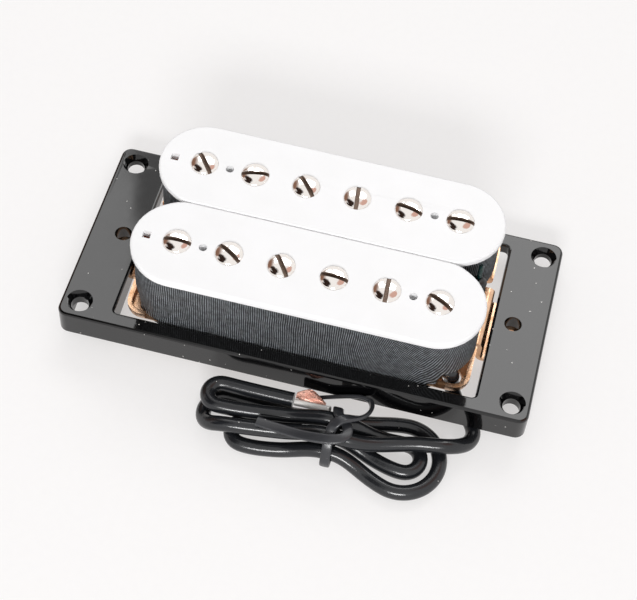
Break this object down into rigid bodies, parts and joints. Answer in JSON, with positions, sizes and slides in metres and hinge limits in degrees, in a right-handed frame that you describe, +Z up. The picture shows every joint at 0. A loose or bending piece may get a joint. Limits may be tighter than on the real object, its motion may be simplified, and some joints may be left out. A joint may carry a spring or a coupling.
{
  "type": "guitar pickup",
  "caption": "Open-coil humbucking guitar pickup with white bobbins and slotted pole screws, on a brass baseplate in a black mounting ring, its cable tied in a hank.",
  "frame": {"origin": "on the ground under the centre of the mounting ring, with the pickup standing on its pole screws", "axes": "+X along the rows of pole screws, +Y away from the side where the cable lies, +Z up"},
  "size_m": [0.0914, 0.0612, 0.0244],
  "materials": {
    "black_plastic": "moulded gloss",
    "white_plastic": "moulded satin gloss",
    "black_tape": "finely ribbed tape",
    "enamelled_wire": "enamelled copper wire",
    "nickel": "bright nickel plate",
    "steel": "plain ground",
    "magnet": "cast magnet alloy",
    "brass": "bright rolled sheet",
    "jacket": "glossy soft vinyl",
    "lead_jacket": "glossy soft vinyl",
    "tie_plastic": "smooth soft strip",
    "copper": "bare braided copper",
    "insulation": "smooth insulation",
    "solder": "bright solder"
  },
  "bodies": {
    "pickup": {"baseplate": "brass", "bar_magnet": "magnet", "cable_entry": "jacket", "cable_run": "jacket", "cable_hank": "jacket", "cable_tie": "tie_plastic", "shield_braid": "copper", "core_wire": "insulation", "core_lead": "insulation", "shield_solder": "solder", "splice_wrap": "black_tape", "coil_lead_front": "lead_jacket", "coil_lead_rear": "lead_jacket", "bobbin_front": "white_plastic", "coil_front": "enamelled_wire", "coil_tape_front": "black_tape", "keeper_bar_front": "steel", "bobbin_screw_front_left": "nickel", "bobbin_screw_front_right": "nickel", "bobbin_rear": "white_plastic", "coil_rear": "enamelled_wire", "coil_tape_rear": "black_tape", "keeper_bar_rear": "steel", "bobbin_screw_rear_left": "nickel", "bobbin_screw_rear_right": "nickel"},
    "mounting_ring": {"mounting_ring": "black_plastic"},
    "pole_screw_front_1": {"pole_screw_front_1": "nickel"},
    "pole_screw_front_2": {"pole_screw_front_2": "nickel"},
    "pole_screw_front_3": {"pole_screw_front_3": "nickel"},
    "pole_screw_front_4": {"pole_screw_front_4": "nickel"},
    "pole_screw_front_5": {"pole_screw_front_5": "nickel"},
    "pole_screw_front_6": {"pole_screw_front_6": "nickel"},
    "pole_screw_rear_1": {"pole_screw_rear_1": "nickel"},
    "pole_screw_rear_2": {"pole_screw_rear_2": "nickel"},
    "pole_screw_rear_3": {"pole_screw_rear_3": "nickel"},
    "pole_screw_rear_4": {"pole_screw_rear_4": "nickel"},
    "pole_screw_rear_5": {"pole_screw_rear_5": "nickel"},
    "pole_screw_rear_6": {"pole_screw_rear_6": "nickel"}
  },
  "joints": [
    {"name": "ring_height", "type": "slide", "parent": "pickup", "child": "mounting_ring", "axis": [0, 0, 1], "range_m": [0, 0.01]},
    {"name": "pole_screw_front_1_height", "type": "slide", "parent": "pickup", "child": "pole_screw_front_1", "axis": [0, 0, 1], "range_m": [0, 0.003]},
    {"name": "pole_screw_front_2_height", "type": "slide", "parent": "pickup", "child": "pole_screw_front_2", "axis": [0, 0, 1], "range_m": [0, 0.003]},
    {"name": "pole_screw_front_3_height", "type": "slide", "parent": "pickup", "child": "pole_screw_front_3", "axis": [0, 0, 1], "range_m": [0, 0.003]},
    {"name": "pole_screw_front_4_height", "type": "slide", "parent": "pickup", "child": "pole_screw_front_4", "axis": [0, 0, 1], "range_m": [0, 0.003]},
    {"name": "pole_screw_front_5_height", "type": "slide", "parent": "pickup", "child": "pole_screw_front_5", "axis": [0, 0, 1], "range_m": [0, 0.003]},
    {"name": "pole_screw_front_6_height", "type": "slide", "parent": "pickup", "child": "pole_screw_front_6", "axis": [0, 0, 1], "range_m": [0, 0.003]},
    {"name": "pole_screw_rear_1_height", "type": "slide", "parent": "pickup", "child": "pole_screw_rear_1", "axis": [0, 0, 1], "range_m": [0, 0.003]},
    {"name": "pole_screw_rear_2_height", "type": "slide", "parent": "pickup", "child": "pole_screw_rear_2", "axis": [0, 0, 1], "range_m": [0, 0.003]},
    {"name": "pole_screw_rear_3_height", "type": "slide", "parent": "pickup", "child": "pole_screw_rear_3", "axis": [0, 0, 1], "range_m": [0, 0.003]},
    {"name": "pole_screw_rear_4_height", "type": "slide", "parent": "pickup", "child": "pole_screw_rear_4", "axis": [0, 0, 1], "range_m": [0, 0.003]},
    {"name": "pole_screw_rear_5_height", "type": "slide", "parent": "pickup", "child": "pole_screw_rear_5", "axis": [0, 0, 1], "range_m": [0, 0.003]},
    {"name": "pole_screw_rear_6_height", "type": "slide", "parent": "pickup", "child": "pole_screw_rear_6", "axis": [0, 0, 1], "range_m": [0, 0.003]}
  ]
}
